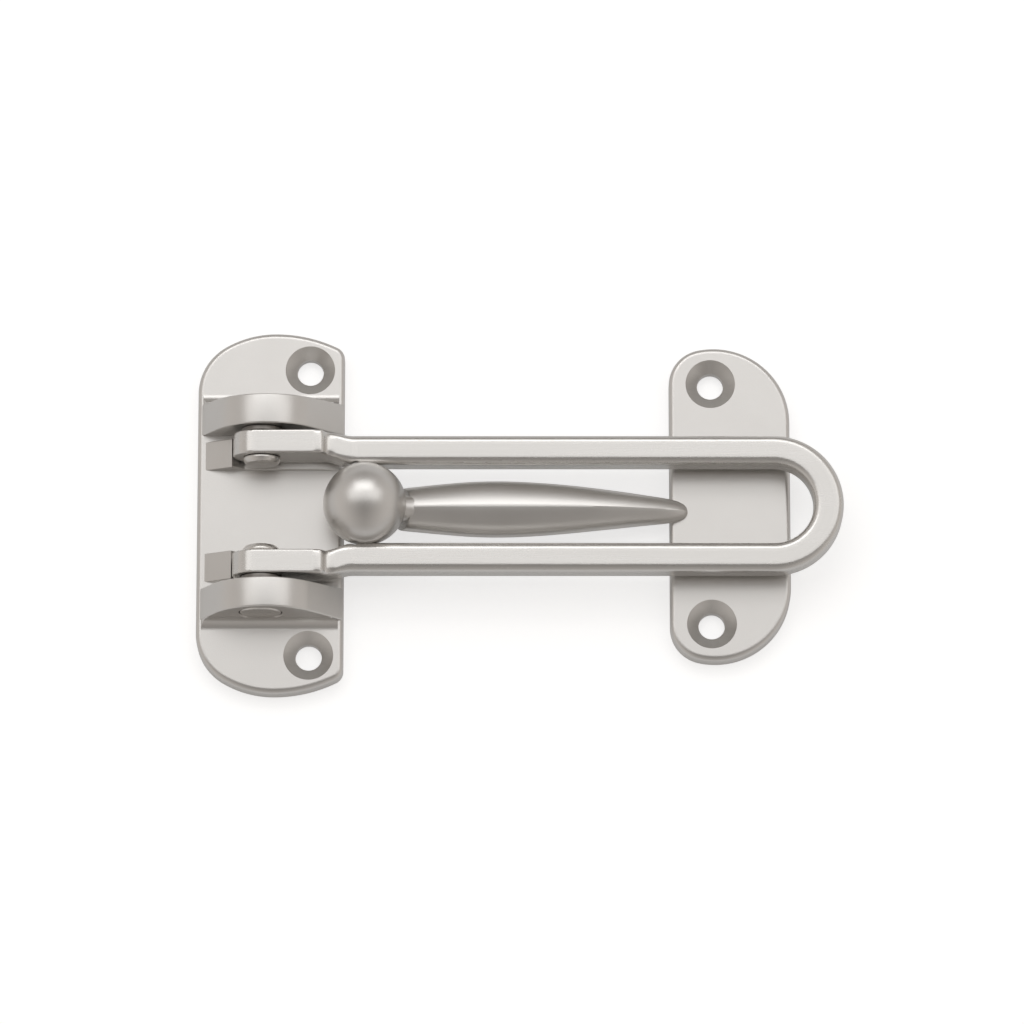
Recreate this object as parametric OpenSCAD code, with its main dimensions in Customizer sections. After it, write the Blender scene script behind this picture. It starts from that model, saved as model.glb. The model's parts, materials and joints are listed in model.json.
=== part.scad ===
// Swing bar door guard: a hinge base, a U-shaped bar on two rivet pins, and a ball strike.
// Origin: midway between the hinge base's screw holes, on the mounting plane.
// +X runs from the hinge base to the strike, +Z points out of the wall. All sizes in millimetres.

/* [Hinge base] */
// Width of the base plate, along the bar
base_w = 25.1; // [24:0.1:28]
// Length of the base plate, across the bar
base_len = 63.3; // [61:0.1:68]
// Thickness of both plates
plate_t = 3.5; // [3:0.1:4]
// Radius on the plates' front edges
edge_r = 0.9; // [0.5:0.1:1.2]
// Radius of the base plate's two large corners
base_outer_r = 9.5; // [8.5:0.1:10.5]
// Radius of the shoulder between a large corner and the crown
base_shoulder_r = 17; // [16:0.1:18]
// Radius of the arc that crowns each end of the base plate
base_crown_r = 24; // [22:0.1:26]
// Distance from the base plate's outer edge to the top of the crown
base_crown_inset = 13.3; // [12.8:0.1:13.8]
// Radius of the two small corners on the bar's side
base_inner_r = 2.2; // [1.5:0.1:3]
// Distance from the base plate's inner edge to the screw holes
base_hole_inset = 5.9; // [5.5:0.1:6.5]
// Distance from each end of the base plate to its screw hole
base_hole_end = 6.6; // [6.4:0.1:7]

/* [Ears] */
// Distance from the base plate's outer edge to the pin axis
pin_inset = 11.2; // [11:0.1:12]
// Height of the pin axis over the mounting plane
pin_z = 8.2; // [8.1:0.1:8.4]
// Distance from the centre line to an ear's inner face
ear_in = 13.4; // [13.3:0.1:14]
// Thickness of an ear at its top
ear_top_t = 5.1; // [4.8:0.1:5.2]
// Thickness of an ear at its foot
ear_foot_t = 5.5; // [5.2:0.1:5.8]
// Radius of the ear's arch
ear_arch_r = 10; // [9.6:0.1:10.4]
// Height of the arch's centre over the mounting plane
ear_arch_z = 3; // [2.8:0.1:3.2]
// Offset of the arch's centre from the pin axis, towards the bar
ear_arch_shift = 0.8; // [0.4:0.1:1.2]
// Angle at which the arch runs into its gentle flank
ear_near_angle = 42; // [40:1:46]
// Angle at which the arch runs into its steep flank
ear_far_angle = 150; // [145:1:152]
// Radius of the fillet along an ear's outer foot
ear_fillet_r = 1.9; // [1.6:0.1:2.1]
// Distance from the pin axis to the seat's foot, near the plate's outer edge
seat_foot_run = 9.8; // [9.6:0.1:10]
// Height of the seat's tip over the mounting plane, where the bar stops
seat_tip_z = 6.1; // [5.9:0.1:6.3]
// Height of the low pad under the bar over the mounting plane
pad_z = 4; // [3.9:0.1:4.1]
// Length of the pad's level part, from the pin axis
pad_run = 8.4; // [8:0.1:8.8]
// Distance from the centre line to the seat's inner wall
seat_in = 7.3; // [7.1:0.1:7.4]
// Thickness of the lip in front of the round bed
seat_lip = 0.8; // [0.6:0.05:0.9]
// Width of the groove between a seat and its ear
seat_groove = 1.1; // [0.9:0.1:1.3]
// Radius of the fillet along a seat's inner foot
seat_fillet_r = 1; // [0.8:0.1:1.1]

/* [Screw holes] */
// Radius of a screw hole
hole_r = 2.25; // [2:0.05:2.4]
// Radius of a countersink at the plate's face
sink_r = 4.2; // [3.9:0.05:4.4]

/* [Hinge pins and washers] */
// Radius of a pin's shank
pin_r = 2.25; // [2:0.05:2.4]
// Radius of the riveted head on the bar's side
rivet_r = 3.2; // [3:0.05:3.4]
// Height of the riveted head
rivet_h = 1.3; // [1:0.05:1.4]
// Radius of the set head in the ear's outer face
set_head_r = 3.55; // [3.2:0.05:3.6]
// Depth of the set head's counterbore below the ear's foot face
set_head_h = 1.8; // [1.4:0.1:2]
// Height of the set head's crown over the ear
set_head_crown = 0.2; // [0.1:0.05:0.3]
// Radial gap between a pin's shank and the bar's eye
running_gap = 0.05; // [0.03:0.01:0.1]
// Gap between pieces that are pressed or riveted together
seat_gap = 0.02; // [0.01:0.01:0.03]
// Radius of a washer
washer_r = 3.6; // [3.4:0.1:3.8]
// Thickness of a washer
washer_t = 0.8; // [0.6:0.05:0.9]
// Gap on each side of a bar eye and of a washer
side_gap = 0.06; // [0.04:0.01:0.1]

/* [Swing bar] */
// Clear width of the slot
slot_w = 13.6; // [13.5:0.1:13.8]
// Width of the bar, seen from the front
bar_w = 5.1; // [4.8:0.1:5.3]
// Thickness of the bar
bar_t = 5.45; // [5.2:0.05:5.6]
// Radius on the bar's long edges
bar_edge_r = 1.3; // [0.8:0.1:1.8]
// Reach from the pin axis to the end of the loop
bar_reach = 99.1; // [96:0.1:104]
// Height of the bar's back over the mounting plane
bar_back_z = 5.15; // [5:0.05:5.4]
// Radius of a bar eye and half the height of its lug
eye_r = 3.8; // [3.6:0.1:3.9]
// How far the eye's round end lies past the pin axis
eye_nose = 1.1; // [0.9:0.1:1.2]
// Gap between a bar eye and its round seat
eye_gap = 0.5; // [0.4:0.1:0.6]
// Thickness of a bar eye
eye_t = 4.1; // [3.8:0.1:4.2]
// Length of the flat lug from the pin axis to the crank
lug_len = 10.3; // [9.8:0.1:10.6]
// Length of the crank between the lug and the bar
crank_len = 5.6; // [5.2:0.1:6]
// Length of the short step down from the lug's face to the bar's face
crank_step = 0.9; // [0.7:0.1:1.1]
// Radius on the lug's edges where the crank starts
lug_edge_r = 0.5; // [0.3:0.1:0.8]
// Gap between the ball and the scoops in the bar
scoop_gap = 0.4; // [0.3:0.05:0.45]

/* [Ball strike] */
// Width of the strike plate
strike_w = 20.65; // [20:0.05:22]
// Length of the strike plate
strike_len = 54.7; // [52:0.1:57]
// Distance from the base plate to the strike plate
door_gap = 55.7; // [54:0.1:58]
// Radius of the strike plate's two large corners
strike_outer_r = 13; // [12.4:0.1:13.6]
// Radius of the strike plate's two small corners
strike_inner_r = 6.2; // [5.8:0.1:6.8]
// Distance from the strike plate's inner edge to the screw holes
strike_hole_inset = 7.1; // [6.6:0.1:7.6]
// Distance from each end of the strike plate to its screw hole
strike_hole_end = 6.25; // [6:0.05:6.6]
// Sideways offset of the strike plate from the arm
strike_shift = 1.5; // [0:0.1:1.6]
// Radius of the ball
ball_r = 7.05; // [7.02:0.01:7.1]
// Distance from the base plate to the ball's centre
ball_gap = 3.95; // [3.8:0.05:4.1]
// Height of the ball's centre over the mounting plane
ball_z = 9.6; // [9.4:0.1:9.8]
// Radius of the neck under the ball
neck_r = 2.8; // [2.6:0.1:2.9]
// Distance from the ball's centre to the arm's shoulder
shoulder_gap = 7.6; // [7.4:0.1:7.8]
// Width of the arm at its shoulder
shoulder_w = 7.5; // [7:0.1:8]
// Greatest width of the arm
arm_w = 10.2; // [9.6:0.1:10.6]
// Greatest height of the arm's section
arm_h = 6.4; // [5.8:0.1:7]
// Height of the arm's middle line over the mounting plane
arm_z = 5.6; // [5.2:0.1:6]
// Width of the arm where it runs down into the strike plate
arm_root_w = 3.9; // [3.6:0.1:4.4]
// How far the arm's root reaches over the strike plate
arm_root_lap = 3.1; // [2.6:0.1:3.6]

/* [Hidden] */
$fn = 64;
nickel = [0.76, 0.74, 0.71];
worn_nickel = [0.70, 0.68, 0.65];

// Overrun of every cut past the face that it opens
over = 1;
// Thickness of the slices that a hull blends
slice = 0.01;
// Step that keeps lapped faces from lying in one plane
lap_step = 0.02;
// How far a loft's end runs into the solid that it joins
lap = 0.4;
// Turn between two slices of a rounded plate edge
edge_turn = 22.5;

base_right = base_hole_inset;
base_left = base_hole_inset - base_w;
base_half = base_len / 2;
pin_x = base_left + pin_inset;
arch_x = pin_x + ear_arch_shift;
arch_top = ear_arch_z + ear_arch_r;
ear_out_foot = ear_in + ear_foot_t;
ear_draft = atan((ear_foot_t - ear_top_t) / (arch_top - plate_t));
seat_r = eye_r + eye_nose + eye_gap;
seat_out = ear_in - seat_groove;
base_hole_gap = base_len - 2 * base_hole_end;
eye_out = ear_in - washer_t - 2 * side_gap;
eye_in = eye_out - eye_t;
slot_half = slot_w / 2;
bar_end_x = pin_x + bar_reach - slot_half - bar_w;
lug_top_z = pin_z + eye_r;
lug_back_z = pin_z - eye_r;
crank_x0 = pin_x + lug_len;
crank_x1 = crank_x0 + crank_len;
strike_left = base_right + door_gap;
strike_right = strike_left + strike_w;
strike_half = strike_len / 2;
strike_hole_gap = strike_len - 2 * strike_hole_end;
ball_x = base_right + ball_gap;
shoulder_x = ball_x + shoulder_gap;
root_x = strike_left + arm_root_lap;

// Points on an arc, from one angle to another; it can leave out the first, which an arc before it has
function arc(c, r, from, to, n = 12, first = 0) =
    [for (i = [first:n]) let (a = from + (to - from) * i / n) [c.x + r * cos(a), c.y + r * sin(a)]];

// A list of points with its mirror image in the X axis, in order
function with_mirror(pts) =
    concat(pts, [for (i = [len(pts) - 1:-1:0]) [pts[i].x, -pts[i].y]]);

// Eases from 0 to 1 with no corner at either end
function ease(t) = t * t * (3 - 2 * t);

function mix(a, b, t) = a + (b - a) * t;

// Outline of the hinge base's plate, moved in by an inset
function base_outline(inset) =
    let (crown = [base_left + base_crown_inset, base_half - base_crown_r],
         shoulder = [crown.x, base_half - base_shoulder_r],
         outer_dx = base_outer_r - base_crown_inset,
         outer_turn = acos(outer_dx / (base_shoulder_r - base_outer_r)),
         outer = [crown.x + outer_dx, shoulder.y + (base_shoulder_r - base_outer_r) * sin(outer_turn)],
         small_x = base_right - base_inner_r,
         rise = sqrt(pow(base_crown_r - base_inner_r, 2) - pow(small_x - crown.x, 2)),
         small = [small_x, crown.y + rise],
         turn = atan2(rise, small_x - crown.x))
    with_mirror(concat(arc(small, base_inner_r - inset, 0, turn, 6),
                       arc(crown, base_crown_r - inset, turn, 90, 8, 1),
                       arc(shoulder, base_shoulder_r - inset, 90, outer_turn, 6, 1),
                       arc(outer, base_outer_r - inset, outer_turn, 180, 10, 1)));

// Outline of the strike's plate about its own centre line, moved in by an inset
function strike_outline(inset) =
    let (small = [strike_left + strike_inner_r, strike_half - strike_inner_r],
         big_x = strike_right - strike_outer_r,
         drop = sqrt(pow(strike_outer_r - strike_inner_r, 2) - pow(small.x - big_x, 2)),
         big = [big_x, small.y - drop],
         turn = atan2(drop, small.x - big_x))
    with_mirror(concat(arc(big, strike_outer_r - inset, 0, turn, 16),
                       arc(small, strike_inner_r - inset, turn, 180, 10, 1)));

// Side view of an ear: an arch between two straight flanks, down to a given height
function ear_side(low) =
    let (far = [cos(ear_far_angle), sin(ear_far_angle)],
         near = [cos(ear_near_angle), sin(ear_near_angle)],
         far_run = (ear_arch_z + ear_arch_r * far.y - low) / -far.x,
         near_run = (ear_arch_z + ear_arch_r * near.y - low) / near.x)
    concat([[arch_x + ear_arch_r * near.x + near_run * near.y, low]],
           arc([arch_x, ear_arch_z], ear_arch_r, ear_near_angle, ear_far_angle, 20),
           [[arch_x + ear_arch_r * far.x - far_run * far.y, low]]);

// A closed skin over rings that all have the same number of points
module skin(rings) {
    n = len(rings[0]);
    count = len(rings);
    sides = [for (k = [0:count - 2]) for (i = [0:n - 1])
        let (j = (i + 1) % n, a = k * n, b = (k + 1) * n) each [[a + i, b + j, a + j], [a + i, b + i, b + j]]];
    caps = [[for (i = [0:n - 1]) i], [for (i = [n - 1:-1:0]) (count - 1) * n + i]];
    polyhedron([for (ring = rings) for (p = ring) p], concat(sides, caps), convexity = 4);
}

// Hole and countersink for one screw, through a plate
module screw_hole() {
    translate([0, 0, -over]) cylinder(h = plate_t + 2 * over, r = hole_r);
    translate([0, 0, plate_t - sink_r + hole_r])
        cylinder(h = sink_r - hole_r + over, r1 = hole_r, r2 = sink_r + over);
}

// A child for the upper side, and its mirror image for the lower side
module both_sides() {
    children();
    mirror([0, 1, 0]) children();
}

// The base plate with its rounded front edge
module base_blank() {
    hull() {
        linear_extrude(plate_t - edge_r) polygon(base_outline(0));
        for (a = [edge_turn:edge_turn:90])
            translate([0, 0, plate_t - edge_r + edge_r * sin(a) - slice])
                linear_extrude(slice) polygon(base_outline(edge_r * (1 - cos(a))));
    }
}

// An upright slab along Y, from its side view
module across(y0, y1) {
    translate([0, y1, 0]) rotate([90, 0, 0]) linear_extrude(y1 - y0) children();
}

// The ear on the upper side, with its drafted outer face
module ear() {
    low = plate_t - edge_r;
    difference() {
        across(ear_in, ear_out_foot) polygon(ear_side(low));
        translate([base_left - over, ear_out_foot, plate_t]) rotate([ear_draft, 0, 0])
            translate([0, 0, -plate_t]) cube([base_w + 2 * over, ear_foot_t, arch_top + over]);
    }
}

// Side view of the low seat: a tip that stops the bar, then a pad that falls away to the plate
module seat_side() {
    low = plate_t - edge_r;
    tip_x = pin_x - seat_r;
    foot_x = pin_x - seat_foot_run;
    end_x = base_right - edge_r;
    polygon([[foot_x, low], [foot_x, plate_t], [tip_x, seat_tip_z], [tip_x + seat_tip_z - pad_z, pad_z],
             [pin_x + pad_run, pad_z], [end_x, plate_t], [end_x, low]]);
}

// A concave strip along a foot on the plate, on the side where dir points
module foot_fillet(y, r, dir) {
    translate([base_left, y, plate_t]) rotate([90, 0, 90]) linear_extrude(base_w) difference() {
        translate([dir > 0 ? -lap : -r, -edge_r]) square([r + lap, r + edge_r]);
        translate([dir * r, r]) circle(r = r + lap_step);
    }
}

// The seat beside the upper ear, with the fillets along its foot and the ear's foot
module seat() {
    across(seat_in, seat_out) seat_side();
    intersection() {
        across(seat_in - seat_fillet_r, seat_in + lap) seat_side();
        foot_fillet(seat_in, seat_fillet_r, -1);
    }
    intersection() {
        across(ear_out_foot - lap, ear_out_foot + ear_fillet_r) polygon(ear_side(plate_t - edge_r));
        foot_fillet(ear_out_foot, ear_fillet_r, 1);
    }
}

module hinge_base() {
    color(nickel) difference() {
        union() {
            base_blank();
            intersection() {
                both_sides() {
                    ear();
                    seat();
                }
                linear_extrude(arch_top + over) polygon(base_outline(0));
            }
        }
        both_sides() {
            translate([0, base_hole_gap / 2, 0]) screw_hole();
            // round bed under the bar's eye, behind the seat's lip
            translate([pin_x, ear_in, pin_z]) rotate([90, 0, 0])
                cylinder(h = ear_in - seat_in - seat_lip, r = seat_r);
            // bore for the pin and counterbore for its set head
            translate([pin_x, ear_out_foot + over, pin_z]) rotate([90, 0, 0]) {
                cylinder(h = ear_foot_t + 2 * over, r = pin_r + seat_gap);
                cylinder(h = set_head_h + over, r = set_head_r + seat_gap);
            }
        }
    }
}

// Section of the bar, centred on its own middle
module bar_section() {
    flat_w = bar_w - 2 * bar_edge_r;
    flat_t = bar_t - 2 * bar_edge_r;
    square([bar_w, flat_t], center = true);
    square([flat_w, bar_t], center = true);
    for (x = [-flat_w / 2, flat_w / 2], y = [-flat_t / 2, flat_t / 2])
        translate([x, y]) circle(r = bar_edge_r);
}

// Rounded rectangle in a plane of constant X
function bar_ring(x, y0, y1, z0, z1, r) =
    [for (p = concat(arc([y1 - r, z1 - r], r, 0, 90, 5), arc([y0 + r, z1 - r], r, 90, 180, 5),
                     arc([y0 + r, z0 + r], r, 180, 270, 5), arc([y1 - r, z0 + r], r, 270, 360, 5))) [x, p.x, p.y]];

// One ring of the crank between the flat lug and the bar: it shifts sideways over the whole crank,
// and its face drops over the short step
function crank_ring(x) =
    let (e = ease(min(1, max(0, (x - crank_x0) / crank_len))),
         f = ease(min(1, max(0, (x - crank_x0) / crank_step))), s = lap_step)
    bar_ring(x, mix(eye_in, slot_half, e) + s, mix(eye_out, slot_half + bar_w, e) - s,
             mix(lug_back_z, bar_back_z, e) + s, mix(lug_top_z, bar_back_z + bar_t, f) - s,
             mix(lug_edge_r, bar_edge_r, e));

module crank() {
    steps = 9;
    step_x1 = crank_x0 + crank_step;
    rings = concat([crank_ring(crank_x0 - lap)],
                   [for (i = [0:3]) crank_ring(crank_x0 + crank_step * i / 4)],
                   [for (i = [0:steps]) crank_ring(mix(step_x1, crank_x1, i / steps))],
                   [crank_ring(crank_x1 + lap)]);
    skin(rings);
}

// Side view of the eye and its flat lug
module lug_side() {
    translate([pin_x - eye_nose, pin_z]) circle(r = eye_r);
    translate([pin_x - eye_nose, lug_back_z]) square([lug_len + eye_nose, 2 * eye_r]);
}

module swing_bar() {
    mid = slot_half + bar_w / 2;
    mid_z = bar_back_z + bar_t / 2;
    color(nickel) difference() {
        union() {
            both_sides() {
                across(eye_in, eye_out) lug_side();
                crank();
                translate([crank_x1, mid, mid_z]) rotate([90, 0, 90])
                    linear_extrude(bar_end_x - crank_x1) bar_section();
            }
            translate([bar_end_x, 0, mid_z]) rotate([0, 0, -90])
                rotate_extrude(angle = 180) translate([mid, 0]) bar_section();
        }
        // bores for the two pins
        both_sides() translate([pin_x, eye_out + over, pin_z]) rotate([90, 0, 0])
            cylinder(h = eye_t + 2 * over, r = pin_r + running_gap);
        // scoops that let the slot pass over the ball
        translate([ball_x, 0, bar_back_z - over]) cylinder(h = bar_t + 2 * over, r = ball_r + scoop_gap);
    }
}

// Half section of a pin about its own axis, from the riveted head out to the set head
function pin_half() =
    let (rivet_z = eye_in - side_gap - rivet_h,
         dome = rivet_h / 2,
         set_z = ear_out_foot - set_head_h,
         end_z = ear_out_foot - (pin_z - plate_t) * tan(ear_draft) + set_head_crown)
    concat([[0, rivet_z], [rivet_r - dome, rivet_z]],
           arc([rivet_r - dome, rivet_z + dome], dome, -90, 0, 6, 1),
           [[rivet_r, rivet_z + rivet_h], [pin_r, rivet_z + rivet_h], [pin_r, set_z + seat_gap],
            [set_head_r, set_z + seat_gap], [set_head_r, end_z - set_head_crown],
            [set_head_r - set_head_crown, end_z], [0, end_z]]);

module upper_pin() {
    color(worn_nickel) translate([pin_x, 0, pin_z]) rotate([-90, 0, 0]) rotate_extrude() polygon(pin_half());
}

module lower_pin() {
    mirror([0, 1, 0]) upper_pin();
}

module upper_washer() {
    color(worn_nickel) translate([pin_x, ear_in - side_gap, pin_z]) rotate([90, 0, 0]) difference() {
        cylinder(h = washer_t, r = washer_r);
        translate([0, 0, -over]) cylinder(h = washer_t + 2 * over, r = pin_r + running_gap);
    }
}

module lower_washer() {
    mirror([0, 1, 0]) upper_washer();
}

// The strike plate with its rounded front edge and its screw holes
module strike_blank() {
    translate([0, strike_shift, 0]) difference() {
        hull() {
            linear_extrude(plate_t - edge_r) polygon(strike_outline(0));
            for (a = [edge_turn:edge_turn:90])
                translate([0, 0, plate_t - edge_r + edge_r * sin(a) - slice])
                    linear_extrude(slice) polygon(strike_outline(edge_r * (1 - cos(a))));
        }
        both_sides() translate([strike_left + strike_hole_inset, strike_hole_gap / 2, 0]) screw_hole();
    }
}

// Shares of the arm's length, from its shoulder, at which its rings stand
arm_shares = [0, 0.05, 0.1, 0.16, 0.23, 0.31, 0.4, 0.5, 0.6, 0.7, 0.8, 0.88, 0.94, 0.97, 0.99, 1];
// Share of the arm's length at which it is widest, and at which its tip starts to round off
arm_wide_share = 0.32;
arm_tip_share = 0.945;
// Share of its full height that the arm has at its shoulder, and at its tip
arm_low_share = 0.9;
arm_tip_low_share = 0.3;
// Share of the arm's length at which it starts to thin, and at which it starts to run down to the plate
arm_thin_share = 0.5;
arm_drop_share = 0.8;
// Share of the tip's section that is left at its very end
tip_end_share = 0.1;
// Roundness of the arm's section over and under its middle; 1 is an oval, and more gives a soft ridge
ridge_share = 1.25;
belly_share = 0.95;
// Points round one ring of the arm
arm_points = 32;

// Half width of the arm at a share of its length
function arm_half(t) =
    (t < arm_wide_share ? mix(shoulder_w, arm_w, sin(90 * t / arm_wide_share))
                        : mix(arm_w, arm_root_w, pow((t - arm_wide_share) / (1 - arm_wide_share), 1.5))) / 2;

// How far the tip has rounded off at a share of the arm's length: 1 up to the tip, 0 at its end
function tip_round(t) =
    t < arm_tip_share ? 1 : max(tip_end_share, sqrt(1 - pow((t - arm_tip_share) / (1 - arm_tip_share), 2)));

// Share of the arm's full height at a share of its length
function arm_height(t) =
    t < arm_wide_share ? mix(arm_low_share, 1, t / arm_wide_share)
                       : mix(1, arm_tip_low_share, ease(max(0, (t - arm_thin_share) / (1 - arm_thin_share))));

function bulge(v, power) = sign(v) * pow(abs(v), power);

// One ring of the arm: an oval with a soft ridge along its front
function arm_ring(t) =
    let (x = mix(shoulder_x, root_x, t), w = arm_half(t) * tip_round(t), h = arm_h / 2 * arm_height(t),
         drop = (arm_z - plate_t) * ease(max(0, (t - arm_drop_share) / (1 - arm_drop_share))))
    [for (k = [0:arm_points - 1]) let (a = 360 * k / arm_points, p = sin(a) > 0 ? ridge_share : belly_share)
        [x, w * bulge(cos(a), p), arm_z - drop + h * bulge(sin(a), p)]];

module arm() {
    skin([for (t = arm_shares) arm_ring(t)]);
}

module ball_strike() {
    neck_dx = shoulder_x + lap - ball_x;
    neck_dz = ball_z - arm_z;
    color(nickel) union() {
        strike_blank();
        arm();
        translate([ball_x, 0, ball_z]) {
            sphere(r = ball_r);
            rotate([0, 90 + atan2(neck_dz, neck_dx), 0])
                cylinder(h = sqrt(neck_dx * neck_dx + neck_dz * neck_dz), r = neck_r);
        }
    }
}

hinge_base();
swing_bar();
upper_pin();
lower_pin();
upper_washer();
lower_washer();
ball_strike();
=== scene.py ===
import bpy
import bmesh
import json
import math
from mathutils import Matrix, Vector


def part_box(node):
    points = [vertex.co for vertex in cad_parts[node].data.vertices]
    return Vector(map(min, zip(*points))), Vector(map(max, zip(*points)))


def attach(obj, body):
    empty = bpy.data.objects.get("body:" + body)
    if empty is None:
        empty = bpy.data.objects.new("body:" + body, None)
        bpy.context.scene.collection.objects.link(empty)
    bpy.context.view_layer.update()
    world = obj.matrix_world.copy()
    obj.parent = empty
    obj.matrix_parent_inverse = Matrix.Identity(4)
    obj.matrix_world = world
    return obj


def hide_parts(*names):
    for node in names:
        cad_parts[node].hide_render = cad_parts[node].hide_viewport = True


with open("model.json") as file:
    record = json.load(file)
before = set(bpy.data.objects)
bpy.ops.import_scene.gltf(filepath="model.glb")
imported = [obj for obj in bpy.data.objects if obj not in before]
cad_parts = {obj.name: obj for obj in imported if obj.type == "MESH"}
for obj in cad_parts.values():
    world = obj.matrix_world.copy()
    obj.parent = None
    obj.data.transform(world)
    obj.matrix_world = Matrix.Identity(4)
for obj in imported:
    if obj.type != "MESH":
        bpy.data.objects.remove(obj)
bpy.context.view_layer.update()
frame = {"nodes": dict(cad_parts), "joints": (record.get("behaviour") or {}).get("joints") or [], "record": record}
scene = bpy.context.scene
mm = 0.001
print("frame loaded:", ", ".join(sorted(frame["nodes"])))

# places that every piece is worked out from, read off the frame
barJoint = frame["joints"][0]
pinX, pinZ = barJoint["pos_m"][0], barJoint["pos_m"][2]
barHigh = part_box("swing_bar")[1]


# camera and light

photoView = {
    "pixelsPerMetre": 5850.0,
    "imageWidth": 1024,
    "distance": 1.1,
    "tilt": 13.5,
    "lookAt": (0.03465, 0.0, 0.0035),
    "sensor": 36.0,
}


def makeCamera(spec):
    tilt = math.radians(spec["tilt"])
    back = Vector((0, -math.sin(tilt), math.cos(tilt)))
    data = bpy.data.cameras.new("photoCamera")
    data.sensor_width = spec["sensor"]
    data.lens = spec["pixelsPerMetre"] * spec["distance"] * spec["sensor"] / spec["imageWidth"]
    data.clip_start = 0.01
    camera = bpy.data.objects.new("photoCamera", data)
    camera.location = Vector(spec["lookAt"]) + back * spec["distance"]
    camera.rotation_euler = back.to_track_quat("Z", "Y").to_euler()
    scene.collection.objects.link(camera)
    scene.camera = camera


softboxes = {
    # direction from the object, distance, width and height in metres, brightness
    "overheadSoftbox": {"toward": (0.0, 0.31, 0.951), "distance": 0.8, "size": (1.5, 0.58), "glow": 0.78},
    "keySoftbox": {"toward": (-0.05, 0.66, 0.75), "distance": 1.0, "size": (0.85, 0.4), "glow": 1.35},
}
# the room's brightness level with the table, and what it gains to the sides, towards the far side and overhead
roomLight = {"tint": (1.0, 0.945, 0.895), "level": 0.38, "sides": 0.29, "far": -0.03, "overhead": -0.18}


def makeLights(boxes, room):
    for name, box in boxes.items():
        data = bpy.data.lights.new(name, "AREA")
        data.shape = "RECTANGLE"
        data.size, data.size_y = box["size"]
        data.energy = box["glow"] * math.pi * data.size * data.size_y
        lamp = bpy.data.objects.new(name, data)
        toward = Vector(box["toward"]).normalized()
        lamp.location = Vector(photoView["lookAt"]) + toward * box["distance"]
        lamp.rotation_euler = toward.to_track_quat("Z", "Y").to_euler()
        scene.collection.objects.link(lamp)
    world = bpy.data.worlds.new("room")
    world.use_nodes = True
    scene.world = world
    nodes, links = world.node_tree.nodes, world.node_tree.links
    place = nodes.new("ShaderNodeTexCoord")
    split = nodes.new("ShaderNodeSeparateXYZ")
    links.new(place.outputs["Generated"], split.inputs[0])
    sides = nodes.new("ShaderNodeMath")
    sides.operation = "ABSOLUTE"
    links.new(split.outputs["X"], sides.inputs[0])
    height = nodes.new("ShaderNodeMath")
    height.operation = "MULTIPLY"
    links.new(split.outputs["Z"], height.inputs[0])
    links.new(split.outputs["Z"], height.inputs[1])
    total = None
    for source, gain in ((sides.outputs[0], room["sides"]), (split.outputs["Y"], room["far"]),
                         (height.outputs[0], room["overhead"])):
        step = nodes.new("ShaderNodeMath")
        step.operation = "MULTIPLY_ADD"
        step.inputs[1].default_value = gain
        step.inputs[2].default_value = room["level"]
        links.new(source, step.inputs[0])
        if total:
            links.new(total, step.inputs[2])
        total = step.outputs[0]
    background = nodes["Background"]
    background.inputs["Color"].default_value = (*room["tint"], 1)
    links.new(total, background.inputs["Strength"])


# glow is what the paper adds for the camera, and sheen what it adds in the metal's reflections
floorSpec = {"size": 4.0, "paint": 0.6, "glow": 0.63, "sheen": 0.2}


def makeFloor(spec):
    half = spec["size"] / 2
    mesh = bpy.data.meshes.new("floor")
    mesh.from_pydata([(-half, -half, 0), (half, -half, 0), (half, half, 0), (-half, half, 0)], [], [(0, 1, 2, 3)])
    floor = bpy.data.objects.new("floor", mesh)
    scene.collection.objects.link(floor)
    material = bpy.data.materials.new("palePaper")
    material.use_nodes = True
    nodes, links = material.node_tree.nodes, material.node_tree.links
    nodes.clear()
    paper = nodes.new("ShaderNodeBsdfDiffuse")
    paper.inputs["Color"].default_value = (spec["paint"],) * 3 + (1,)
    light = nodes.new("ShaderNodeEmission")
    path = nodes.new("ShaderNodeLightPath")
    direct = nodes.new("ShaderNodeMath")
    direct.operation = "MULTIPLY"
    direct.inputs[1].default_value = spec["glow"]
    links.new(path.outputs["Is Camera Ray"], direct.inputs[0])
    total = nodes.new("ShaderNodeMath")
    total.operation = "MULTIPLY_ADD"
    total.inputs[1].default_value = spec["sheen"]
    links.new(path.outputs["Is Glossy Ray"], total.inputs[0])
    links.new(direct.outputs[0], total.inputs[2])
    links.new(total.outputs[0], light.inputs["Strength"])
    both = nodes.new("ShaderNodeAddShader")
    links.new(paper.outputs[0], both.inputs[0])
    links.new(light.outputs[0], both.inputs[1])
    output = nodes.new("ShaderNodeOutputMaterial")
    links.new(both.outputs[0], output.inputs["Surface"])
    mesh.materials.append(material)


makeCamera(photoView)
makeLights(softboxes, roomLight)
makeFloor(floorSpec)
scene.view_settings.view_transform = "Standard"
print("camera, lamps and floor placed")


# satin nickel: one grain group, used by every finish

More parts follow.
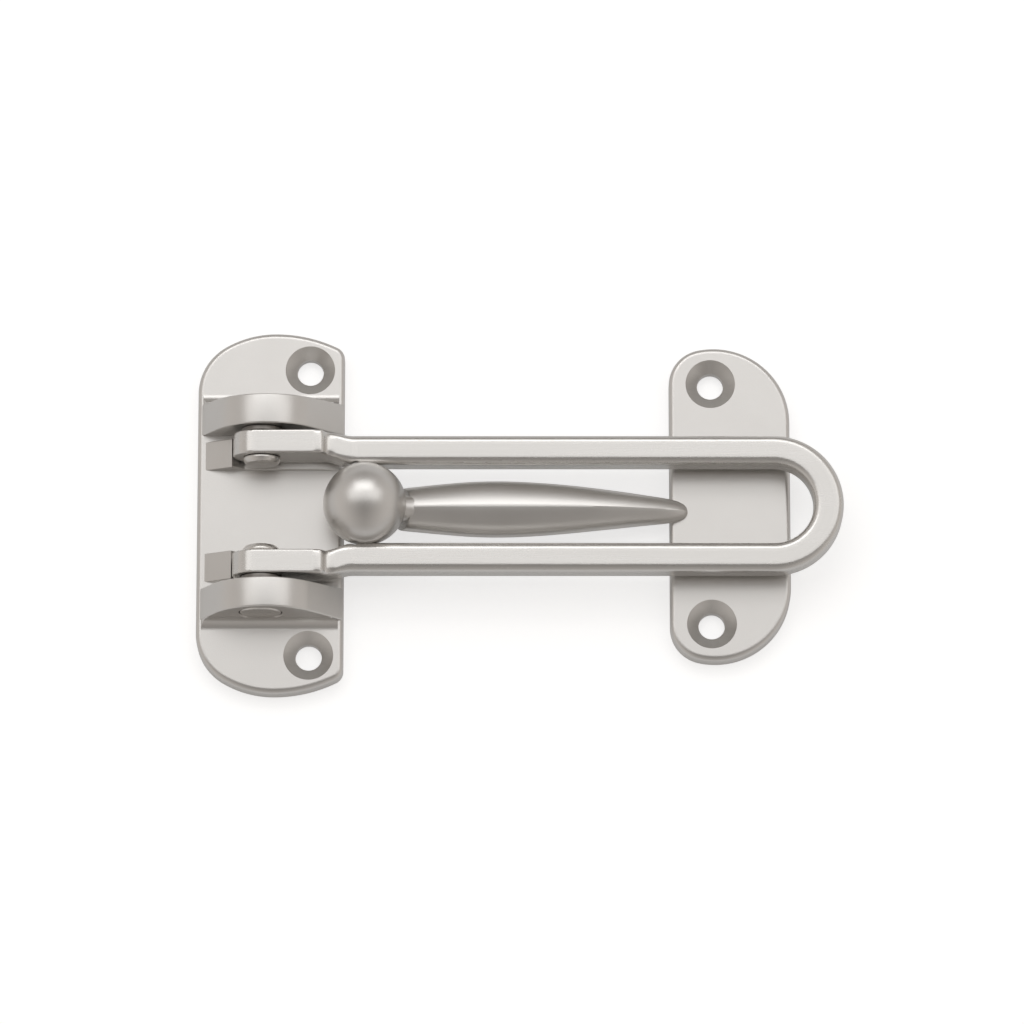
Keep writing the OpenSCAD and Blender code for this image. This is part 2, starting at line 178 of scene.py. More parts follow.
def grainGroup():
    group = bpy.data.node_groups.new("satinGrain", "ShaderNodeTree")
    face = group.interface
    for name, kind in (("Vector", "NodeSocketVector"), ("Scale", "NodeSocketFloat"), ("Cloud Scale", "NodeSocketFloat"),
                       ("Light Tone", "NodeSocketColor"), ("Dark Tone", "NodeSocketColor"),
                       ("Smooth", "NodeSocketFloat"), ("Rough", "NodeSocketFloat")):
        face.new_socket(name, in_out="INPUT", socket_type=kind)
    for name, kind in (("Color", "NodeSocketColor"), ("Roughness", "NodeSocketFloat"), ("Height", "NodeSocketFloat")):
        face.new_socket(name, in_out="OUTPUT", socket_type=kind)
    nodes, links = group.nodes, group.links
    given = nodes.new("NodeGroupInput")
    made = nodes.new("NodeGroupOutput")
    grain = nodes.new("ShaderNodeTexNoise")
    grain.inputs["Detail"].default_value = 3
    links.new(given.outputs["Vector"], grain.inputs["Vector"])
    links.new(given.outputs["Scale"], grain.inputs["Scale"])
    cloud = nodes.new("ShaderNodeTexNoise")
    cloud.inputs["Detail"].default_value = 2
    links.new(given.outputs["Vector"], cloud.inputs["Vector"])
    links.new(given.outputs["Cloud Scale"], cloud.inputs["Scale"])
    blend = nodes.new("ShaderNodeMath")   # mostly cloud, with a little of the grain
    blend.operation = "MULTIPLY_ADD"
    blend.inputs[1].default_value = 0.35
    links.new(grain.outputs["Fac"], blend.inputs[0])
    cloudShare = nodes.new("ShaderNodeMath")
    cloudShare.operation = "MULTIPLY"
    cloudShare.inputs[1].default_value = 0.65
    links.new(cloud.outputs["Fac"], cloudShare.inputs[0])
    links.new(cloudShare.outputs[0], blend.inputs[2])
    tone = nodes.new("ShaderNodeMix")
    tone.data_type = "RGBA"
    links.new(blend.outputs[0], tone.inputs["Factor"])
    links.new(given.outputs["Dark Tone"], tone.inputs[6])
    links.new(given.outputs["Light Tone"], tone.inputs[7])
    rough = nodes.new("ShaderNodeMix")
    links.new(blend.outputs[0], rough.inputs["Factor"])
    links.new(given.outputs["Smooth"], rough.inputs[2])
    links.new(given.outputs["Rough"], rough.inputs[3])
    links.new(tone.outputs[2], made.inputs["Color"])
    links.new(rough.outputs[0], made.inputs["Roughness"])
    links.new(grain.outputs["Fac"], made.inputs["Height"])
    return group


satinGrain = grainGroup()

finishes = {
    # stretch squeezes the grain along X, so that it draws out into brushing lines
    "castNickel": {"light": (0.72, 0.706, 0.687), "dark": (0.655, 0.64, 0.62), "smooth": 0.29, "rough": 0.37,
                   "scale": 5200, "cloud": 160, "stretch": (1, 1, 1), "bump": 0.22},
    "drawnNickel": {"light": (0.745, 0.732, 0.712), "dark": (0.67, 0.655, 0.635), "smooth": 0.23, "rough": 0.31,
                    "scale": 5200, "cloud": 300, "stretch": (0.05, 1, 1), "bump": 0.2},
    "turnedNickel": {"light": (0.62, 0.585, 0.55), "dark": (0.5, 0.47, 0.435), "smooth": 0.18, "rough": 0.27,
                     "scale": 7000, "cloud": 400, "stretch": (1, 0.2, 1), "bump": 0.12},
    "pinNickel": {"light": (0.72, 0.70, 0.675), "dark": (0.64, 0.62, 0.595), "smooth": 0.22, "rough": 0.3,
                  "scale": 7000, "cloud": 400, "stretch": (1, 0.2, 1), "bump": 0.12},
    # the washers' finish is painted shade: near black, standing in for the dark gap between each ear and the bar's eye
    "paintedShadeSteel": {"light": (0.26, 0.24, 0.225), "dark": (0.18, 0.17, 0.16), "smooth": 0.26, "rough": 0.36,
                  "scale": 7000, "cloud": 400, "stretch": (1, 1, 1), "bump": 0.12},
}


def makeFinish(name, spec):
    material = bpy.data.materials.new(name)
    material.use_nodes = True
    nodes, links = material.node_tree.nodes, material.node_tree.links
    shader = nodes["Principled BSDF"]
    shader.inputs["Metallic"].default_value = 1.0
    place = nodes.new("ShaderNodeTexCoord")
    mapping = nodes.new("ShaderNodeMapping")
    mapping.inputs["Scale"].default_value = spec["stretch"]
    links.new(place.outputs["Object"], mapping.inputs["Vector"])
    grain = nodes.new("ShaderNodeGroup")
    grain.node_tree = satinGrain
    links.new(mapping.outputs[0], grain.inputs["Vector"])
    grain.inputs["Scale"].default_value = spec["scale"]
    grain.inputs["Cloud Scale"].default_value = spec["cloud"]
    grain.inputs["Light Tone"].default_value = (*spec["light"], 1)
    grain.inputs["Dark Tone"].default_value = (*spec["dark"], 1)
    grain.inputs["Smooth"].default_value = spec["smooth"]
    grain.inputs["Rough"].default_value = spec["rough"]
    bump = nodes.new("ShaderNodeBump")
    bump.inputs["Strength"].default_value = spec["bump"]
    bump.inputs["Distance"].default_value = 0.05 * mm
    links.new(grain.outputs["Height"], bump.inputs["Height"])
    links.new(grain.outputs["Color"], shader.inputs["Base Color"])
    links.new(grain.outputs["Roughness"], shader.inputs["Roughness"])
    links.new(bump.outputs[0], shader.inputs["Normal"])
    return material


materials = {name: makeFinish(name, spec) for name, spec in finishes.items()}
print("finishes made:", ", ".join(materials))


# shared mesh steps

def showObject(name, mesh):
    piece = bpy.data.objects.new(name, mesh)
    scene.collection.objects.link(piece)
    return piece


def bakeModifiers(piece):
    depsgraph = bpy.context.evaluated_depsgraph_get()
    solid = bpy.data.meshes.new_from_object(piece.evaluated_get(depsgraph))
    piece.modifiers.clear()
    piece.data = solid


def meshFrom(work, name):
    mesh = bpy.data.meshes.new(name)
    work.to_mesh(mesh)
    work.free()
    return mesh


def frameShape(node):
    work = bmesh.new()
    work.from_mesh(frame["nodes"][node].data)
    bmesh.ops.remove_doubles(work, verts=work.verts, dist=0.001 * mm)
    return work


def turned(outline, steps, place, axis):
    # a closed outline of (along, radius) pairs, in millimetres, turned about an axis through a place
    work = bmesh.new()
    along = Vector(axis).normalized()
    side = along.orthogonal().normalized()
    across = along.cross(side)
    rings = []
    for reach, radius in outline:
        centre = Vector(place) + along * reach * mm
        if radius <= 0:
            rings.append([work.verts.new(centre)] * steps)
        else:
            rings.append([work.verts.new(centre + (side * math.cos(a) + across * math.sin(a)) * radius * mm)
                          for a in (2 * math.pi * k / steps for k in range(steps))])
    for k in range(len(rings)):
        first, second = rings[k], rings[(k + 1) % len(rings)]
        for i in range(steps):
            j = (i + 1) % steps
            corners = list(dict.fromkeys((first[i], first[j], second[j], second[i])))
            if len(corners) > 2:
                work.faces.new(corners)
    bmesh.ops.recalc_face_normals(work, faces=work.faces)
    return work


def rounded(corners, radius, steps=6):
    # rounds the inner corners of an open outline of (along, radius) pairs
    points = [corners[0]]
    for before, corner, after in zip(corners, corners[1:], corners[2:]):
        here, back, on = Vector(corner), Vector(before) - Vector(corner), Vector(after) - Vector(corner)
        cut = min(radius, back.length * 0.45, on.length * 0.45)
        start, end = here + back.normalized() * cut, here + on.normalized() * cut
        for k in range(steps + 1):
            t = k / steps
            points.append(tuple(start * (1 - t) ** 2 + here * 2 * t * (1 - t) + end * t ** 2))
    points.append(corners[-1])
    return points


def joined(*works):
    whole = bmesh.new()
    for work in works:
        part = bpy.data.meshes.new("part")
        work.to_mesh(part)
        work.free()
        whole.from_mesh(part)
        bpy.data.meshes.remove(part)
    return whole


def castPiece(name, work, spec):
    # one skin over all the shapes, then tumbled so that its edges and inner corners soften
    piece = showObject(name, meshFrom(work, name))
    skin = piece.modifiers.new("skin", "REMESH")
    skin.mode = "VOXEL"
    skin.voxel_size = spec["grainSize"] * mm
    tumble = piece.modifiers.new("tumble", "SMOOTH")
    tumble.factor = 0.5
    tumble.iterations = spec["tumbling"]
    bakeModifiers(piece)
    return piece


def stacked(outline, levels, place):
    # a closed outline of (u, v) pairs, drawn at each (height, inset) level and skinned
    # place turns u, v and height into x, y and z
    work = bmesh.new()
    count = len(outline)
    points = [Vector(point) for point in outline]
    shifts = []
    for before, here, after in zip(points[-1:] + points[:-1], points, points[1:] + points[:1]):
        first, second = (here - before).normalized(), (after - here).normalized()
        inward = Vector((-first.y, first.x)) + Vector((-second.y, second.x))
        shifts.append(inward / max(0.2, 1 + first.dot(second)))
    rings = [[work.verts.new(Vector(place(*(point + shift * inset), height)) * mm)
              for point, shift in zip(points, shifts)] for height, inset in levels]
    for lower, upper in zip(rings, rings[1:]):
        for i in range(count):
            j = (i + 1) % count
            work.faces.new((lower[i], lower[j], upper[j], upper[i]))
    work.faces.new(rings[0][::-1])
    work.faces.new(rings[-1])
    bmesh.ops.recalc_face_normals(work, faces=work.faces)
    return work


def edgeLevels(low, high, lowRadius, highRadius, steps=7, margin=0.12):
    # levels of a slab whose two long edges are rounded; the margin keeps the flat face flat
    levels = []
    if lowRadius > 0:
        levels.append((low, lowRadius + margin))
        levels += [(low + lowRadius * (1 - math.sin(a)), lowRadius * (1 - math.cos(a)))
                   for a in (math.pi / 2 * (1 - k / steps) for k in range(steps + 1))]
    else:
        levels.append((low, 0))
    levels += [(high - highRadius * (1 - math.sin(a)), highRadius * (1 - math.cos(a)))
               for a in (math.pi / 2 * k / steps for k in range(steps + 1))]
    levels.append((high, highRadius + margin))
    return levels


def arcPoints(centre, radius, start, end, steps):
    return [(centre[0] + radius * math.cos(math.radians(start + (end - start) * k / steps)),
             centre[1] + radius * math.sin(math.radians(start + (end - start) * k / steps))) for k in range(steps + 1)]


def carved(work, cutters):
    # cuts a casting with turned shapes; the cut faces take the machined finish
    body = showObject("body", meshFrom(work, "body"))
    tool = showObject("tool", meshFrom(joined(*cutters), "tool"))
    tool.data.materials.append(materials["turnedNickel"])
    body.data.materials.append(materials["castNickel"])
    body.data.materials.append(materials["turnedNickel"])
    cut = body.modifiers.new("cut", "BOOLEAN")
    cut.operation = "DIFFERENCE"
    cut.solver = "EXACT"
    cut.material_mode = "TRANSFER"
    cut.object = tool
    bakeModifiers(body)
    result = bmesh.new()
    result.from_mesh(body.data)
    bpy.data.objects.remove(body)
    bpy.data.objects.remove(tool)
    return result


def mirrored(work):
    twin = work.copy()
    bmesh.ops.scale(twin, vec=(1, -1, 1), verts=twin.verts)
    bmesh.ops.reverse_faces(twin, faces=twin.faces)
    return twin


def assembled(name, works, *finishNames):
    piece = showObject(name, meshFrom(joined(*works), name))
    piece.data.materials.clear()
    for finishName in finishNames:
        piece.data.materials.append(materials[finishName])
    return piece


def countersink(x, y, spec):
    # screw hole and countersink with the rings the tool left, and a thin broken edge at the face
    hole, rim, top, edge = spec["holeRadius"], spec["rimRadius"], plateTop / mm, spec["brokenEdge"]
    start, end = Vector((top - rim + hole, hole)), Vector((top - edge, rim - edge * 0.6))
    marks = [tuple(start.lerp(end, k / toolMarks["count"]) + Vector((0, toolMarks["depth"] * (k % 2))))
             for k in range(toolMarks["count"] + 1)]
    outline = [(-1, 0), (-1, hole), *marks, (top, rim + edge * 0.4), (top + 1, rim + edge * 0.4 + 0.02), (top + 1, 0)]
    return turned(outline, spec["steps"], (x, y, 0), (0, 0, 1))


def hand(piece, body, slot, *nodes, crease=24):
    piece.data.set_sharp_from_angle(angle=math.radians(crease))
    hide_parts(*nodes)
    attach(piece, body)
    piece.data.calc_loop_triangles()
    print("made", piece.name, "with", len(piece.data.loop_triangles), "triangles")


def coat(piece, material):
    piece.data.materials.clear()
    piece.data.materials.append(materials[material])
    piece.data.polygons.foreach_set("material_index", [0] * len(piece.data.polygons))


mounts = {mount["name"]: mount for mount in frame["record"]["mounts"]}
plateTop = 3.5 * mm
toolMarks = {"count": 14, "depth": 0.016}


# hinge base: cast plate, ears and seats, with machined screw holes and pin bores

hingeBase = {
    "left": -19.2, "right": 5.9, "halfLength": 31.65, "edgeRadius": 0.9,
    "outerRadius": 9.5, "shoulderRadius": 17.0, "crownRadius": 24.0, "crownInset": 13.3, "innerRadius": 2.2,
    "holeRadius": 2.25, "rimRadius": 4.2, "brokenEdge": 0.12, "steps": 96,
    "earInside": 13.4, "earFoot": 5.55, "footInset": 0.06, "earDraft": 0.042, "earEdge": 0.28,
    "filletRadius": 1.75, "filletInset": 0.15, "filletSunk": 0.5, "filletLap": 0.25,
    "archRadius": 10.0, "archHeight": 3.0, "archShift": 0.8, "nearAngle": 42, "farAngle": 150,
    "seatInside": 7.3, "seatOutside": 12.3, "lip": 0.8, "seatEdge": 0.2,
    "footRun": 9.8, "tipHeight": 6.1, "padHeight": 4.0, "padRun": 8.4, "bedRadius": 5.2,
    "boreRadius": 2.27, "headRadius": 3.7, "headDepth": 1.8, "headEdge": 0.1,
    "boreFlare": 0.4, "borePast": 2,
}


def holePlaces(mount):
    x, y, z = mount["pos_m"]
    half = mount["dims"]["spacing_y_mm"] / 2 * mm
    return [(x, y + half), (x, y - half)]


def withMirror(half):
    return half + [(x, -y) for x, y in reversed(half)]


def baseOutline(spec):
    crownX, smallX = spec["left"] + spec["crownInset"], spec["right"] - spec["innerRadius"]
    crownY, shoulderY = spec["halfLength"] - spec["crownRadius"], spec["halfLength"] - spec["shoulderRadius"]
    reach = spec["shoulderRadius"] - spec["outerRadius"]
    outerTurn = math.degrees(math.acos((spec["outerRadius"] - spec["crownInset"]) / reach))
    outer = (spec["left"] + spec["outerRadius"], shoulderY + reach * math.sin(math.radians(outerTurn)))
    rise = math.sqrt((spec["crownRadius"] - spec["innerRadius"]) ** 2 - (smallX - crownX) ** 2)
    turn = math.degrees(math.atan2(rise, smallX - crownX))
    return withMirror(arcPoints((smallX, crownY + rise), spec["innerRadius"], 0, turn, 12)
                      + arcPoints((crownX, crownY), spec["crownRadius"], turn, 90, 24)[1:]
                      + arcPoints((crownX, shoulderY), spec["shoulderRadius"], 90, outerTurn, 18)[1:]
                      + arcPoints(outer, spec["outerRadius"], outerTurn, 180, 32)[1:])


def plate(outline, spec):
    return stacked(outline, edgeLevels(0, plateTop / mm, 0, spec["edgeRadius"]), lambda u, v, h: (u, v, h))


def earWidth(z, spec):
    # lowest and highest x of the ear at a height, on its two straight flanks
    archX = pinX / mm + spec["archShift"]
    near, far = math.radians(spec["nearAngle"]), math.radians(spec["farAngle"])
    return (archX + (spec["archRadius"] - (z - spec["archHeight"]) * math.sin(far)) / math.cos(far),
            archX + (spec["archRadius"] - (z - spec["archHeight"]) * math.sin(near)) / math.cos(near))


def ear(spec):
    low = plateTop / mm - 0.9
    archX = pinX / mm + spec["archShift"]
    limit = spec["right"] - spec["footInset"]
    near = math.radians(spec["nearAngle"])
    corner = spec["archHeight"] + (spec["archRadius"] - (limit - archX) * math.cos(near)) / math.sin(near)
    outline = ([(limit, low), (limit, corner)] + arcPoints((archX, spec["archHeight"]), spec["archRadius"],
                                                           spec["nearAngle"], spec["farAngle"], 56)
               + [(earWidth(low, spec)[0], low)])

    def place(u, v, h):
        lean = (v - plateTop / mm) * spec["earDraft"] * (h - spec["earInside"]) / spec["earFoot"]
        return u, h - lean, v
    outside = spec["earInside"] + spec["earFoot"]
    slab = stacked(outline, edgeLevels(spec["earInside"], outside, spec["earEdge"], spec["earEdge"], 5, 0.05), place)
    edge = outside - (pinZ - plateTop) / mm * spec["earDraft"]
    start = outside - spec["headDepth"]
    mouth = spec["headRadius"] + spec["headEdge"] + spec["boreFlare"]
    bore = turned([(spec["earInside"] - 1, 0), (spec["earInside"] - 1, spec["boreRadius"]), (start, spec["boreRadius"]),
                   (start, spec["headRadius"]), (edge - spec["headEdge"], spec["headRadius"]),
                   (edge + spec["boreFlare"], mouth), (edge + spec["borePast"], mouth),
                   (edge + spec["borePast"], 0)], spec["steps"], (pinX, 0, pinZ), (0, 1, 0))
    return carved(slab, [bore])


def footFillet(wall, radius, sunk, lap, span, steps=12):
    # a hollow strip between a wall and the plate; span gives its two ends at a height
    floor = plateTop / mm
    arc = [(wall + radius * (1 - math.cos(a)), floor + radius * (1 - math.sin(a)))
           for a in (math.pi / 2 * k / steps for k in range(steps + 1))]
    profile = [(wall - lap, floor - sunk), (wall - lap, floor + radius), *arc, (wall + radius, floor - sunk)]
    work = bmesh.new()
    ends = []
    for side in (0, 1):
        ends.append([work.verts.new(Vector((span(z)[side], y, z)) * mm) for y, z in profile])
    count = len(profile)
    for i in range(count):
        j = (i + 1) % count
        work.faces.new((ends[0][i], ends[0][j], ends[1][j], ends[1][i]))
    work.faces.new(ends[0][::-1])
    work.faces.new(ends[1])
    bmesh.ops.remove_doubles(work, verts=work.verts, dist=0.0005 * mm)
    bmesh.ops.recalc_face_normals(work, faces=work.faces)
    return work


def bedCutter(spec):
    return turned([(spec["seatInside"] + spec["lip"], 0), (spec["seatInside"] + spec["lip"], spec["bedRadius"]),
                   (spec["earInside"], spec["bedRadius"]), (spec["earInside"], 0)],
                  spec["steps"], (pinX, 0, pinZ), (0, 1, 0))


def seat(spec):
    pin, floor = pinX / mm, plateTop / mm
    foot, tip, end = pin - spec["footRun"], pin - spec["bedRadius"], spec["right"] - spec["edgeRadius"]
    drop = spec["tipHeight"] - spec["padHeight"]
    outline = [(end, floor - 0.6), (end, floor), (pin + spec["padRun"], spec["padHeight"]),
               (tip + drop, spec["padHeight"]), (tip, spec["tipHeight"]), (foot, floor), (foot, floor - 0.6)]
    levels = edgeLevels(spec["seatInside"], spec["seatOutside"], spec["seatEdge"], spec["seatEdge"], 4, 0.03)
    slab = stacked(outline, levels, lambda u, v, h: (u, h, v))
    return carved(slab, [bedCutter(spec)])


def makeHingeBase(spec):
    bed = bedCutter(spec)
    body = carved(plate(baseOutline(spec), spec),
                  [countersink(x, y, spec) for x, y in holePlaces(mounts["base_screws"])] + [mirrored(bed), bed])
    limit, inset = spec["right"] - spec["edgeRadius"], spec["filletInset"]
    earFillet = footFillet(spec["earInside"] + spec["earFoot"], spec["filletRadius"],
                           spec["filletSunk"], spec["filletLap"],
                           lambda z: (earWidth(z, spec)[0] + inset, min(limit, earWidth(z, spec)[1] - inset)))
    shapes = [ear(spec), seat(spec), earFillet]
    piece = assembled("hingeBase", [body] + [mirrored(shape) for shape in shapes] + shapes, "castNickel", "turnedNickel")
    hand(piece, "base", "satin_nickel", "hinge_base")


makeHingeBase(hingeBase)


# ball strike: plate, arm, neck and ball

ballStrike = {
    "left": 61.6, "right": 82.25, "halfLength": 27.35, "edgeRadius": 0.9, "outerRadius": 13.0, "innerRadius": 6.2,
    "shift": 1.5,
    "holeRadius": 2.25, "rimRadius": 4.2, "brokenEdge": 0.12, "steps": 96,
    "ball": (9.6, 0.0, 9.6), "ballRadius": 7.08, "neckRadius": 2.75, "neckEnd": 18.4, "neckDrop": 4.5,
    # the neck's outline as shares of its length and radius
    "neckShares": [(0, 0), (0, 0.8), (0.55, 0.82), (0.78, 0.84), (0.88, 0.95), (0.94, 1), (1, 0.9), (1, 0)],
    # the arm's shoulder leans back by slant at its foot and upright again at slantEnd
    "slant": 0.6, "slantStart": 15.85, "slantEnd": 30.0,
    # x, width, height and middle height of the arm, from its shoulder to its root
    "stations": [(15.85, 5.9, 4.4, 5.3), (15.97, 6.8, 5.1, 5.3), (16.3, 7.4, 5.6, 5.3), (19.0, 8.0, 5.9, 5.35),
                 (22.4, 8.7, 6.1, 5.4), (27.5, 9.55, 6.3, 5.4), (32.6, 9.8, 6.4, 5.4), (37.7, 9.45, 6.3, 5.4),
                 (42.8, 8.7, 6.1, 5.4), (47.9, 7.65, 5.6, 5.3), (53.0, 6.45, 4.9, 5.0), (57.3, 5.35, 4.1, 4.6),
                 (60.6, 4.5, 3.4, 4.2), (62.6, 3.75, 2.8, 3.9), (63.8, 2.8, 2.1, 3.7), (64.4, 1.8, 1.4, 3.6),
                 (64.65, 0.7, 0.7, 3.55)],
    "ridge": 0.26, "ringPoints": 96, "between": 6,
}


def strikeOutline(spec):
    smallX, smallY = spec["left"] + spec["innerRadius"], spec["halfLength"] - spec["innerRadius"]
    bigX = spec["right"] - spec["outerRadius"]
    drop = math.sqrt((spec["outerRadius"] - spec["innerRadius"]) ** 2 - (smallX - bigX) ** 2)
    turn = math.degrees(math.atan2(drop, smallX - bigX))
    half = (arcPoints((bigX, smallY - drop), spec["outerRadius"], 0, turn, 40)
            + arcPoints((smallX, smallY), spec["innerRadius"], turn, 180, 24)[1:])
    return [(x, y + spec["shift"]) for x, y in withMirror(half)]


def between(a, b, c, d, t):
    # smooth curve through four values, from b to c
    return b + 0.5 * t * (c - a + t * (2 * a - 5 * b + 4 * c - d + t * (3 * (b - c) + d - a)))


def strikeArm(spec):
    stations = spec["stations"]
    rows = []
    for k in range(len(stations) - 1):
        four = [stations[max(0, min(len(stations) - 1, k + i))] for i in (-1, 0, 1, 2)]
        for i in range(spec["between"]):
            t = i / spec["between"]
            rows.append([between(*values, t) for values in zip(*four)])
    rows.append(list(stations[-1]))
    work = bmesh.new()
    rings = []
    for x, width, height, middle in rows:
        lean = spec["slant"] * max(0, (spec["slantEnd"] - x) / (spec["slantEnd"] - spec["slantStart"])) ** 2
        ring = []
        for k in range(spec["ringPoints"]):
            a = 2 * math.pi * k / spec["ringPoints"]
            crest = 1 - spec["ridge"] * abs(math.cos(a)) if math.sin(a) > 0 else 1
            rise = height / 2 * math.sin(a) * crest
            ring.append(work.verts.new(Vector((x + lean * rise, width / 2 * math.cos(a), middle + rise)) * mm))
        rings.append(ring)
    for first, second in zip(rings, rings[1:]):
        for i in range(len(first)):
            j = (i + 1) % len(first)
            work.faces.new((first[i], first[j], second[j], second[i]))
    work.faces.new(rings[0][::-1])
    work.faces.new(rings[-1])
    bmesh.ops.recalc_face_normals(work, faces=work.faces)
    return work


def strikeBall(spec):
    radius = spec["ballRadius"]
    outline = [(-radius * math.cos(math.pi * k / 72), radius * math.sin(math.pi * k / 72)) for k in range(73)]
    outline[0], outline[-1] = (-radius, 0), (radius, 0)
    return turned(outline, spec["steps"], Vector(spec["ball"]) * mm, (0, 0, 1))


def strikeNeck(spec):
    start = Vector(spec["ball"])
    end = Vector((spec["neckEnd"], 0, start.z - spec["neckDrop"]))
    length = (end - start).length
    outline = [(length * along, spec["neckRadius"] * wide) for along, wide in spec["neckShares"]]
    return turned(outline, spec["steps"], start * mm, end - start)


def makeBallStrike(spec):
    body = carved(plate(strikeOutline(spec), spec), [countersink(x, y, spec) for x, y in holePlaces(mounts["strike_screws"])])
    piece = assembled("ballStrike", [body, strikeArm(spec), strikeNeck(spec), strikeBall(spec)],
                      "castNickel", "turnedNickel")
    hand(piece, "base", "satin_nickel", "ball_strike")


makeBallStrike(ballStrike)


# swing bar: a rounded section swept round the loop, with its lugs and eyes from the frame

swingBar = {
    "grainSize": 0.23, "tumbling": 6,
    "width": 5.1, "thickness": 5.45, "edgeRadius": 1.3,
    "slotHalf": 6.8, "backHeight": 5.15,
    "sweepStart": 8.5, "lugEnd": 10.5,
    "stepStart": 0.9, "stepEnd": 4.6, "stepFloor": 10.2, "stepSoftening": 30,
}


def sweepTree():
    group = bpy.data.node_groups.new("sweptBar", "GeometryNodeTree")
    face = group.interface
    for name in ("Start", "Reach", "Half Spread", "Middle Height", "Width", "Thickness", "Edge Radius"):
        face.new_socket(name, in_out="INPUT", socket_type="NodeSocketFloat")
    face.new_socket("Finish", in_out="INPUT", socket_type="NodeSocketMaterial")
    face.new_socket("Geometry", in_out="OUTPUT", socket_type="NodeSocketGeometry")
    nodes, links = group.nodes, group.links
    given = nodes.new("NodeGroupInput")
    made = nodes.new("NodeGroupOutput")
    below = nodes.new("ShaderNodeMath")
    below.operation = "MULTIPLY"
    below.inputs[1].default_value = -1
    links.new(given.outputs["Half Spread"], below.inputs[0])
    path = nodes.new("GeometryNodeCurvePrimitiveQuadrilateral")
    path.mode = "POINTS"
    for k, (x, y) in enumerate((("Start", below.outputs[0]), ("Reach", below.outputs[0]),
                                ("Reach", given.outputs["Half Spread"]), ("Start", given.outputs["Half Spread"]))):
        corner = nodes.new("ShaderNodeCombineXYZ")
        links.new(given.outputs[x], corner.inputs["X"])
        links.new(y, corner.inputs["Y"])
        links.new(given.outputs["Middle Height"], corner.inputs["Z"])
        links.new(corner.outputs[0], path.inputs["Point " + str(k + 1)])
    opened = nodes.new("GeometryNodeSetSplineCyclic")
    opened.inputs["Cyclic"].default_value = False
    links.new(path.outputs[0], opened.inputs["Geometry"])
    bend = nodes.new("GeometryNodeFilletCurve")
    bend.mode = "POLY"
    bend.inputs["Count"].default_value = 40
    bend.inputs["Limit Radius"].default_value = True
    links.new(opened.outputs[0], bend.inputs["Curve"])
    links.new(given.outputs["Half Spread"], bend.inputs["Radius"])
    section = nodes.new("GeometryNodeCurvePrimitiveQuadrilateral")
    links.new(given.outputs["Width"], section.inputs["Width"])
    links.new(given.outputs["Thickness"], section.inputs["Height"])
    softer = nodes.new("GeometryNodeFilletCurve")
    softer.mode = "POLY"
    softer.inputs["Count"].default_value = 10
    links.new(section.outputs[0], softer.inputs["Curve"])
    links.new(given.outputs["Edge Radius"], softer.inputs["Radius"])
    sweep = nodes.new("GeometryNodeCurveToMesh")
    sweep.inputs["Fill Caps"].default_value = True
    links.new(bend.outputs[0], sweep.inputs["Curve"])
    links.new(softer.outputs[0], sweep.inputs["Profile Curve"])
    real = nodes.new("GeometryNodeRealizeInstances")
    links.new(sweep.outputs[0], real.inputs[0])
    finish = nodes.new("GeometryNodeSetMaterial")
    links.new(real.outputs[0], finish.inputs["Geometry"])
    links.new(given.outputs["Finish"], finish.inputs["Material"])
    links.new(finish.outputs[0], made.inputs[0])
    return group


def fillTree(modifier, values):
    for item in modifier.node_group.interface.items_tree:
        if item.in_out == "INPUT" and item.name in values:
            modifier[item.identifier] = values[item.name]


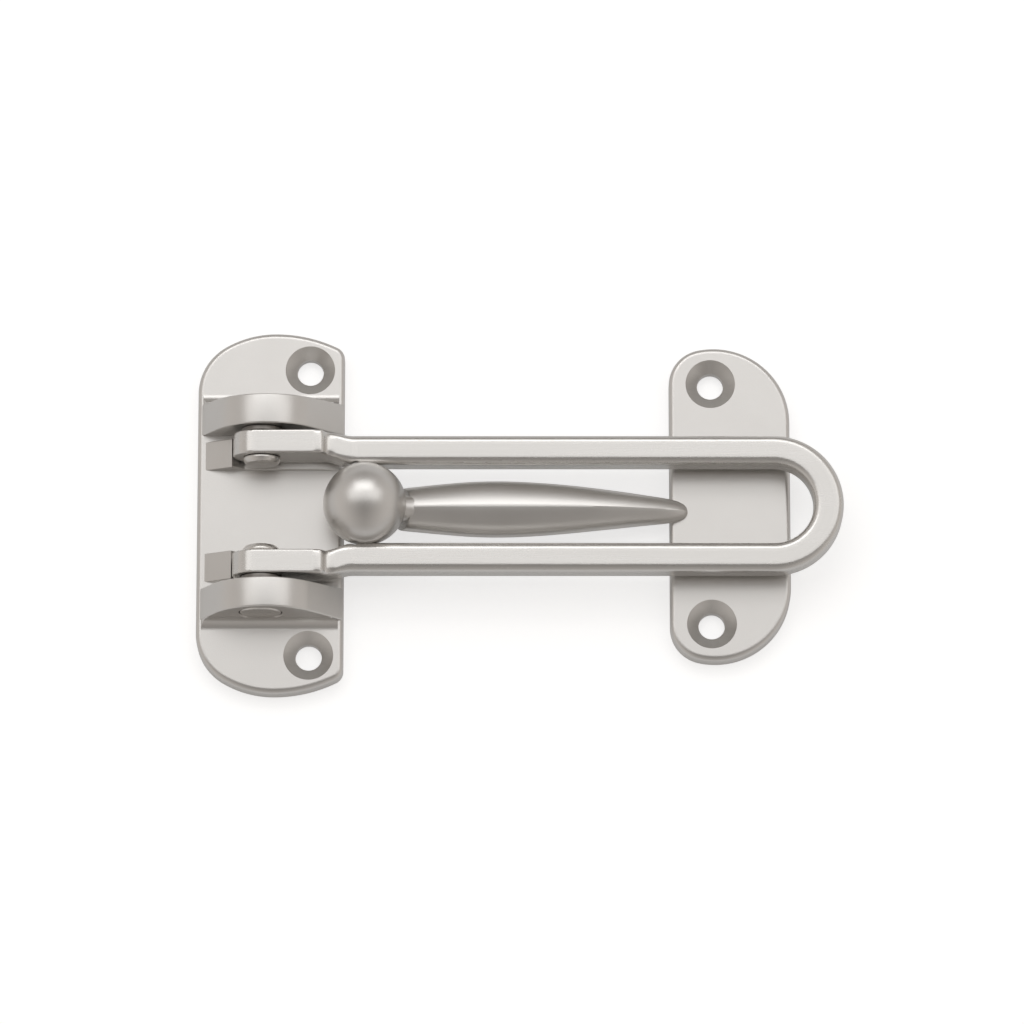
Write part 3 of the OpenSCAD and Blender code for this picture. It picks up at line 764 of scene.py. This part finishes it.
def makeSwingBar(spec):
    sweep = showObject("sweep", bpy.data.meshes.new("sweep"))
    modifier = sweep.modifiers.new("sweep", "NODES")
    modifier.node_group = sweepTree()
    middle = spec["slotHalf"] + spec["width"] / 2
    fillTree(modifier, {
        "Start": spec["sweepStart"] * mm,
        "Reach": barHigh[0] - spec["width"] / 2 * mm,
        "Half Spread": middle * mm,
        "Middle Height": (spec["backHeight"] + spec["thickness"] / 2) * mm,
        "Width": spec["width"] * mm,
        "Thickness": spec["thickness"] * mm,
        "Edge Radius": spec["edgeRadius"] * mm,
        "Finish": materials["drawnNickel"],
    })
    bakeModifiers(sweep)
    swept = bmesh.new()
    swept.from_mesh(sweep.data)
    bpy.data.objects.remove(sweep)
    bmesh.ops.remove_doubles(swept, verts=swept.verts, dist=0.001 * mm)
    bmesh.ops.recalc_face_normals(swept, faces=swept.faces)
    lugs = frameShape("swing_bar")
    plane = (spec["lugEnd"] * mm, 0, 0)
    cut = bmesh.ops.bisect_plane(lugs, geom=lugs.verts[:] + lugs.edges[:] + lugs.faces[:], plane_co=plane,
                                 plane_no=(1, 0, 0), clear_outer=True)
    rim = [item for item in cut["geom_cut"] if isinstance(item, bmesh.types.BMEdge)]
    bmesh.ops.holes_fill(lugs, edges=rim, sides=0)
    piece = castPiece("swingBar", joined(swept, lugs), spec)
    skin = bmesh.new()
    skin.from_mesh(piece.data)
    step = [v for v in skin.verts
            if spec["stepStart"] < v.co.x / mm < spec["stepEnd"] and v.co.z / mm > spec["stepFloor"]]
    for _ in range(spec["stepSoftening"]):
        bmesh.ops.smooth_vert(skin, verts=step, factor=0.5, use_axis_x=False, use_axis_y=False, use_axis_z=True)
    skin.to_mesh(piece.data)
    skin.free()
    coat(piece, "drawnNickel")
    hand(piece, "bar", "satin_nickel", "swing_bar", crease=50)


makeSwingBar(swingBar)


# hinge pins and washers, turned with soft edges

hingePins = {
    "rivetRadius": 3.2, "rivetHeight": 1.3, "shankRadius": 2.25, "headRadius": 3.55, "headHeight": 1.6,
    "crown": 0.2, "crownRun": 0.6, "edge": 0.25, "steps": 96,
    # the rivet's head as shares of its height and radius
    "rivetShares": [(0, 0.55), (0.123, 0.86), (0.62, 1), (1, 1)],
}
washers = {"radius": 3.6, "bore": 2.3, "edge": 0.12, "steps": 96}


def makePin(name, node, side, spec):
    low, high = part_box(node)
    near, far = sorted((abs(low[1]) / mm, abs(high[1]) / mm))
    rivet = [(near, 0)] + [(near + spec["rivetHeight"] * along, spec["rivetRadius"] * wide)
                           for along, wide in spec["rivetShares"]] + [(near + spec["rivetHeight"], spec["shankRadius"])]
    headStart = far - spec["crown"] - spec["headHeight"]
    head = [(headStart, spec["shankRadius"]), (headStart, spec["headRadius"]), (far - spec["crown"], spec["headRadius"]),
            (far, spec["headRadius"] - spec["crownRun"]), (far, 0)]
    outline = rounded(rivet + head, spec["edge"])
    piece = showObject(name, meshFrom(turned(outline, spec["steps"], (pinX, 0, pinZ), (0, side, 0)), name))
    coat(piece, "pinNickel")
    hand(piece, "base", "pin_nickel", node)


def makeWasher(name, node, spec):
    low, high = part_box(node)
    thick = (high[1] - low[1]) / mm
    middle = (spec["bore"] + spec["radius"]) / 2
    ring = rounded([(0, middle), (0, spec["radius"]), (thick, spec["radius"]), (thick, spec["bore"]),
                    (0, spec["bore"]), (0, middle)], spec["edge"])[:-1]
    piece = showObject(name, meshFrom(turned(ring, spec["steps"], (pinX, low[1], pinZ), (0, 1, 0)), name))
    # the washer is coated near black, a painted shade for the gap it sits in
    coat(piece, "paintedShadeSteel")
    hand(piece, "base", "pin_nickel", node)


makePin("upperPin", "upper_pin", 1, hingePins)
makePin("lowerPin", "lower_pin", -1, hingePins)
makeWasher("upperWasher", "upper_washer", washers)
makeWasher("lowerWasher", "lower_washer", washers)
